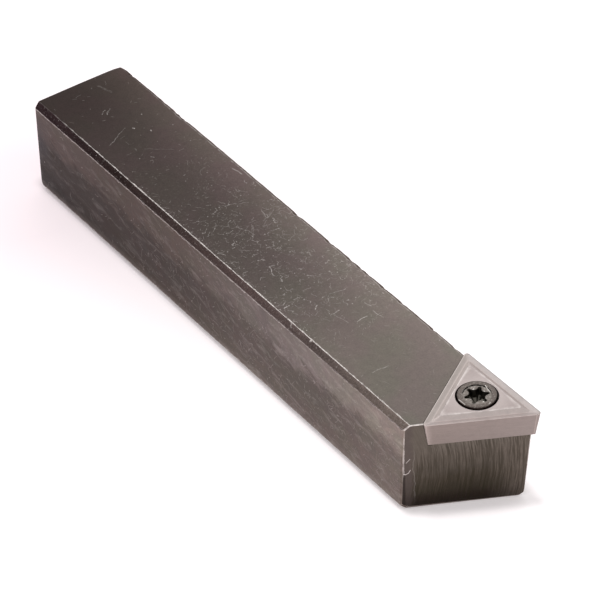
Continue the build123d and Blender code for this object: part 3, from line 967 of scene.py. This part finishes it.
def fresh_chamfers():
    """Chamfers: still the full dark film, grainy, with light wear creeping in from both edges. The bright line at
    their upper edge is partly a painted highlight, stronger on the -Y side. To the eye they are thin dark lines
    that outline the bar. A dark tint at grazing angles keeps the far one dark too."""
    node, place, u, v, gap, station = bar_place("fresh_black_oxide")
    near = along_bar(node, u, ["#34282A", "#2E2423", "#423735", "#554745", "#5B504D", "#71655F"])
    far = along_bar(node, u, ["#4A403D", "#574D48", "#635954", "#6C625C"])
    colour = node("blend", node("ramp", v, 5.0, 6.0), near, far)
    grain = node("noise", place, 3.4, 4.0, 0.75)
    patch = node("noise", node("stretch", place, (0.4, 1.0, 0.0)), 0.7, 3.0, 0.6)
    vary = node("plus", grain, 1.50, node("plus", patch, 0.60, -0.05))
    colour = node("shade", colour, vary)
    upper = node("ramp", node("size", v), 7.80, 7.70)
    worn, _ = edge_wear(node, place, gap, 0.03, 0.05)
    worn = node("times", worn, node("ramp", upper, 0.0, 1.0, 0.3, 0.9))
    # Painted highlight in part: the rubbed line is stronger on the -Y chamfer than on the +Y one.
    worn = node("times", worn, node("ramp", u, -46.0, -34.0, 0.12, 1.0), node("ramp", v, 6.0, 7.0, 1.0, 0.5))
    shaken = node("noise", place, 1.6, 3.0, out="Color")
    shaken = node("shift", shaken, (0.9, 0.9, 0), place)
    nicks = strokes(node, shaken, [(14.5, -6.7, 15.1, -7.4, 0.40, 0.24), (18.9, -6.7, 19.3, -6.9, 0.36, 0.55)])
    flecks = node("times", node("ramp", node("noise", place, 2.4, 5.0, 0.8), 0.60, 0.74), 0.30)
    end = node("times", node("ramp", station, 44.82, 44.92), node("ramp", patch, 0.40, 0.55, 0.4, 0.9),
               node("ramp", node("size", v), 8.6, 8.4))
    light = node("largest", worn, nicks, flecks, end)
    colour = node("blend", light, colour, "#E4DCD8")
    height = node("plus", light, SCRATCH_DEPTH, node("times", grain, 0.010))
    finish_metal(node, colour, node("plus", grain, 0.2, 0.36), height, edge_tint=(0.5, 0.47, 0.45, 1.0))


rubbed_top()
mottled_sides()
fresh_chamfers()
print("bar finishes:", {name: len(bpy.data.materials[name].node_tree.nodes) for name in FINISHES[:3]}, "nodes")

# %% [markdown]
# ## The milled front
# The skewed front was cut with a fly cutter, which leaves arcs: each tooth mark is part of a circle
# about the spindle's axis. So the pattern is a function of one number only, the distance from that
# axis. The arcs lie about 0.36 mm apart, which is the feed for each turn, with finer lines between.

# %% Front finish
def fly_cut_front():
    """Dark olive-brown oxide with lighter broken arcs. The upper left corner and a strip down the left edge were
    polished smooth, and the edge itself is rubbed bright, with a curved scratch that comes round it. To the
    eye it is a combed face that darkens towards its foot, and that darkening is painted shade."""
    node = start_finish("fly_cut_black_oxide")
    place = in_millimetres(node)
    turned = node("turn", place, front_skew)
    parts = node("SeparateXYZ", turned, out=None)
    across = node("minus", parts.outputs[1], front_at * math.sin(front_skew))
    z = parts.outputs[2]
    face = node("CombineXYZ", across, z)
    hooks = strokes(node, face, [
        (-9.16, 6.82, -8.74, 6.66, 0.16, 0.9), (-8.74, 6.66, -8.34, 6.88, 0.15, 0.8),
        (-8.34, 6.88, -8.08, 7.42, 0.13, 0.7), (-8.66, 8.86, -8.14, 9.54, 0.13, 0.6)])
    reach = node("distance", face, (-26.0, 7.0, 0.0))
    reach = node("plus", node("noise", face, 0.12), 0.6, reach)
    ring = node("CombineXYZ", reach, z)
    coarse = node("noise", node("stretch", ring, (2.8, 0.08, 0.0)), 1.0, 3.0, 0.7)
    fine = node("noise", node("stretch", ring, (6.5, 0.3, 0.0)), 1.0, 2.0, 0.6)
    arcs = node("plus", coarse, 1.1, node("times", fine, 0.9))
    arcs = node("ramp", arcs, 0.84, 1.22, -1.0, 1.0)
    corner = node("minus", z, across)
    broken = node("noise", face, 0.7, 4.0, 0.7)
    soft = node("noise", face, 0.35, 3.0, 0.6)
    border = node("plus", soft, 0.9, across)
    calm = node("times", node("ramp", corner, 14.5, 18.5, 1.0, 0.15), node("ramp", border, -7.8, -6.9, 0.15, 1.0))
    arcs = node("times", arcs, calm, node("ramp", broken, 0.3, 0.62, 0.45, 1.15))
    # Painted shade: the colour darkens towards the foot, where the face mirrors the shadowed table in front.
    share = node("ramp", z, 0.0, 12.0)
    colour = node("ValToRGB", share, stops=[
        (0.0, "#231B17"), (1.0, "#615A53"), (0.12, "#29211C"), (0.26, "#363028"), (0.42, "#413A32"),
        (0.58, "#4E4740"), (0.80, "#5C544D")])
    beside = node("times", node("ramp", across, -3.5, -8.5, 0.0, 0.4), node("ramp", z, 2.0, 7.0))
    beside = node("largest", node("ramp", across, 2.5, 7.6, 0.0, 0.72), beside)
    colour = node("blend", beside, colour, "#645B54")
    strip = node("times", node("ramp", border, -7.0, -7.7), node("ramp", z, 1.0, 5.0, 0.4, 0.55))
    colour = node("blend", strip, colour, "#564C4B")
    olive = node("times", node("ramp", arcs, 0.2, -0.8), 0.35)
    colour = node("blend", olive, colour, "#3A3424")
    light = node("plus", arcs, 0.24, node("plus", broken, 0.5, 0.78))
    colour = node("shade", colour, light)
    dark = node("times", node("ramp", across, -8.70, -8.82), node("ramp", z, 7.5, 6.0), 0.6)
    colour = node("blend", dark, colour, "#1E1714")
    ragged = node("noise", face, 1.2, 4.0, 0.7)
    left_edge = node("times", node("ramp", node("plus", ragged, 0.3, across), -8.72, -8.82),
                     node("ramp", z, 6.0, 8.0, 0.0, 0.6))
    strip_edge = node("times", band(node, border, -7.16, -7.08, 0.07), band(node, z, 2.0, 11.0, 1.5), 0.16)
    top_edge = node("times", node("ramp", node("plus", ragged, -0.5, z), 15.52, 15.66), 0.85)
    bright = node("largest", hooks, left_edge, top_edge, strip_edge)
    colour = node("blend", bright, colour, "#D8D0CC")
    rough = node("plus", broken, 0.2, 0.38)
    finish_metal(node, colour, rough, node("times", arcs, 0.008))


fly_cut_front()
print("front:", len(bpy.data.materials["fly_cut_black_oxide"].node_tree.nodes), "nodes")

# %% [markdown]
# ## The hidden faces of the bar
# The back was sawn and faced, the pocket milled, and the hole tapped. All were blackened with the
# rest, and none has been rubbed since, so they are the darkest and most even part of the bar.

# %% Back, pocket and hole
def quiet_oxide(name, code, streak_along, streak_across):
    """Dark oxide with fine tool streaks: noise stretched by its own scale on each axis, in marks a millimetre.
    To the eye it is an even dark satin."""
    node = start_finish(name)
    place = in_millimetres(node)
    stretched = node("Mapping", {"Vector": place, "Scale": (streak_along, streak_across, streak_along)})
    streak = node("noise", stretched, 1.0, 4.0, 0.6, noise_dimensions="3D")
    patch = node("noise", place, 0.25, noise_dimensions="3D")
    light = node("plus", streak, 0.5, 0.6)
    light = node("plus", patch, 0.3, light)
    colour = node("shade", linear(code)[:3], light)
    rough = node("plus", patch, 0.2, 0.4)
    height = node("times", streak, 0.008)
    finish_metal(node, colour, rough, height)


quiet_oxide("sawn_black_oxide", "#4A3F3B", 0.6, 6.0)
quiet_oxide("milled_black_oxide", "#3A322E", 4.0, 0.6)
quiet_oxide("tapped_black_oxide", "#38312E", 1.0, 1.0)
print("hidden faces done")

# %% [markdown]
# ## The insert's finish: sintered carbide
# The insert is uncoated cemented carbide: tungsten carbide grains of a few thousandths of a
# millimetre, bound with cobalt. Pressed faces are satin and pale grey with a warm tint, and the
# ground sides are a little darker. Its unrolled map gives the distance travelled over the profile,
# so a tone can follow the ridge or the cutting edge exactly.

# %% Insert finish
PROFILE_NAMES = ["bore foot", "sink foot", "sink lip", "ridge", "rise foot", "fall foot", "land", "edge", "side foot"]
profile_at = dict(zip(PROFILE_NAMES, insert_unrolled[:, 0, 1].reshape(len(PROFILE_NAMES), -1).mean(axis=1)))
print("profile millimetres:", {name: round(float(value), 2) for name, value in profile_at.items()})


def sintered_carbide():
    """Warm grey, with painted highlights along the ridge and the cutting edges, and darker on the ground sides. To
    the eye it is pale satin, almost like stone, against the dark bar. The map's first number is 0 to 3 round the
    triangle, so the three sides of the groove can differ a little: painted light, each side lit as light falls on it."""
    node = start_finish("sintered_carbide")
    unrolled = node("SeparateXYZ", node("UVMap", uv_map="unrolled"), out=None)
    travelled = unrolled.outputs[1]
    round_it = node("times", unrolled.outputs[0], 1 / 3)
    place = in_millimetres(node)

    # painted light: each side of the triangle gets its own colour for how the light falls on it
    def painted_light_by_side(right, left, front):
        """Ramp round the triangle, with a soft change at each corner."""
        return node("ValToRGB", round_it, stops=[
            (0.0, front), (1.0, front), (0.09, right), (0.335, right), (0.425, left), (0.665, left), (0.76, front)])

    at = {name: float(value) for name, value in profile_at.items()}
    cloud = node("noise", place, 0.7, 4.0, 0.6, noise_dimensions="3D")
    blur = node("plus", cloud, 0.24, -0.12)
    outward = node("distance", place, (*insert_middle, bar_height))
    flat = node("blend", node("ramp", outward, 3.2, 5.6), "#C5B9B6", "#B5A8A5")
    moved = node("sum", travelled, blur)
    colour = node("blend", node("ramp", moved, at["ridge"], at["ridge"] + 0.1), flat,
                  painted_light_by_side("#C9BDB9", "#D2C6C1", "#CBBEBA"))
    colour = node("blend", node("ramp", moved, at["rise foot"], at["fall foot"] + 0.2), colour,
                  painted_light_by_side("#CDC3C0", "#BFB4AF", "#C3B6B3"))
    colour = node("blend", node("ramp", travelled, at["land"] - 0.03, at["land"] + 0.03), colour,
                  painted_light_by_side("#ACA7A3", "#CBC0BB", "#B9ACA7"))
    # Painted shade: the countersink and bore under the screw head are darkened.
    painted_sink_shade = node("ramp", travelled, at["sink lip"] - 0.04, at["sink lip"] - 0.12)
    colour = node("blend", painted_sink_shade, colour, "#5A4C48")
    flank = node("ValToRGB", round_it, stops=[
        (0.0, "#8F8480"), (1.0, "#8F8480"), (0.745, "#A89B96"), (0.765, "#8A7E79")])
    side = node("ramp", travelled, at["edge"], at["edge"] + 0.10)
    colour = node("blend", side, colour, flank)
    # Painted highlight: a bright line along the plateau's ridge.
    ridge = node("times", band(node, travelled, at["ridge"] - 0.05, at["ridge"] + 0.05, 0.04),
                 node("ramp", cloud, 0.40, 0.58, 0.20, 0.85))
    colour = node("blend", ridge, colour, "#F6EEEA")
    # Painted highlight and shade: the honed edge is a bright line on the left and front sides and a dark one on the
    # right.
    rim = node("times", band(node, travelled, at["edge"] - 0.05, at["edge"] + 0.05, 0.04),
               node("ramp", cloud, 0.35, 0.6, 0.2, 0.6))
    colour = node("blend", rim, colour, painted_light_by_side("#77736F", "#DDD3CF", "#D6CBC7"))
    grain = node("noise", place, 4.0, 4.0, 0.7, noise_dimensions="3D")
    turned = node("turn", place, math.radians(29.0))
    ground = node("stretch", turned, (0.3, 0.3, 7.0))
    ground = node("noise", ground, 1.0, 3.0, 0.6, noise_dimensions="3D")
    light = node("plus", grain, 0.20, node("plus", cloud, 0.34, 0.73))
    light = node("plus", node("times", side, node("plus", ground, 1.0, -0.5)), 0.28, light)
    colour = node("shade", colour, light)
    height = node("plus", grain, 0.003, node("times", ground, side, 0.003))
    finish_metal(node, colour, node("plus", cloud, 0.15, 0.36), height)


sintered_carbide()
insert_data.materials.append(bpy.data.materials["sintered_carbide"])

# %% [markdown]
# ## The screw's finish: dark alloy steel
# Small high-strength screws are sold with a thin dark film from quenching in oil. The head is a
# little lighter where the key has rubbed it, and the socket stays nearly black. The recess's wall is
# painted nearly black as shade, with a painted shadow on its far side. The map gives the
# distance outside the star and from the axis, so each zone of the head is a range of two numbers.

# %% Screw finish
def quenched_steel():
    """Dark grey steel: turned rings on the head, nearly black in the socket, and painted nearly black as shade in
    the recess's rim. To the eye it is a dark button with a few painted glints on its edges."""
    node = start_finish("quenched_alloy_steel")
    place = in_millimetres(node)
    centred = node("VectorMath", place, (*insert_middle, screw_top), operation="SUBTRACT")
    parts = node("SeparateXYZ", centred, out=None)
    flat = node("CombineXYZ", parts.outputs[0], parts.outputs[1])
    radius = node("VectorMath", flat, out="Value", operation="LENGTH")
    rings = node("TexNoise", {"W": radius, "Scale": 9.0, "Detail": 1.0}, noise_dimensions="1D")
    grain = node("noise", centred, 4.0, 3.0, 0.6, noise_dimensions="3D")
    depth = parts.outputs[2]
    past_star = node("SeparateXYZ", node("UVMap", uv_map="reach"))
    # Painted shadow: the recess's floor is darkened on its far side, and its wall is painted nearly black as shade.
    painted_far_shadow = node("dot", flat, (-0.82, 0.57, 0.0))
    painted_far_shadow = node("times", node("ramp", painted_far_shadow, 0.3, 0.8), node("ramp", radius, 1.85, 1.91))
    shaded = node("largest", node("ramp", depth, recess_floor + 0.004, recess_floor + 0.015), painted_far_shadow)
    colour = node("blend", shaded, "#837B75", "#0E0A09")
    colour = node("blend", node("ramp", depth, -0.06, -0.03), colour, "#6C635E")
    # Painted shade: the head's outer wall, in the gap above the countersink, is darkened.
    wall = node("times", node("ramp", radius, 2.62, 2.70), node("ramp", depth, -0.07, -0.11))
    colour = node("blend", wall, colour, "#4A3C38")
    deep = node("ramp", past_star, 0.035, 0.02)
    colour = node("blend", node("times", deep, node("ramp", depth, recess_floor - 0.02, recess_floor - 0.3)), colour,
                  "#625E57")
    # Painted highlights: bright glints on the head's rim, the recess's edge and the socket's teeth.
    painted_glints = strokes(node, flat, [
        (-0.66, -2.60, 0.63, -2.55, 0.12, 0.7), (-0.72, 2.00, 0.60, 1.78, 0.13, 1.0),
        (-0.70, 1.99, -0.05, 1.92, 0.10, 0.6), (1.20, -0.06, 1.62, -0.08, 0.20, 1.0),
        (0.12, -1.16, 0.30, -1.10, 0.24, 0.8), (-1.27, 0.42, -1.21, 0.17, 0.24, 0.9),
        (-0.03, 1.27, 0.17, 1.17, 0.28, 0.9), (2.38, 0.42, 2.55, 0.05, 0.14, 0.6)])
    dusty = node("times", node("ramp", grain, 0.52, 0.72), node("ramp", radius, 2.7, 1.6, 0.15, 0.4))
    # the light here mixes the head's lighter grain with the painted glints above
    rubbed = node("times", node("largest", painted_glints, dusty), node("ramp", past_star, 0.02, 0.06),
                  node("ramp", wall, 1.0, 0.6))
    colour = node("blend", rubbed, colour, "#F2ECE6")
    light = node("plus", rings, 0.30, node("plus", grain, 0.5, 0.60))
    colour = node("shade", colour, light)
    finish_metal(node, colour, node("plus", grain, 0.2, 0.26), node("times", rings, 0.003))


quenched_steel()
screw_data.materials.append(bpy.data.materials["quenched_alloy_steel"])
print("screw finish:", len(screw_data.materials[0].node_tree.nodes), "nodes")
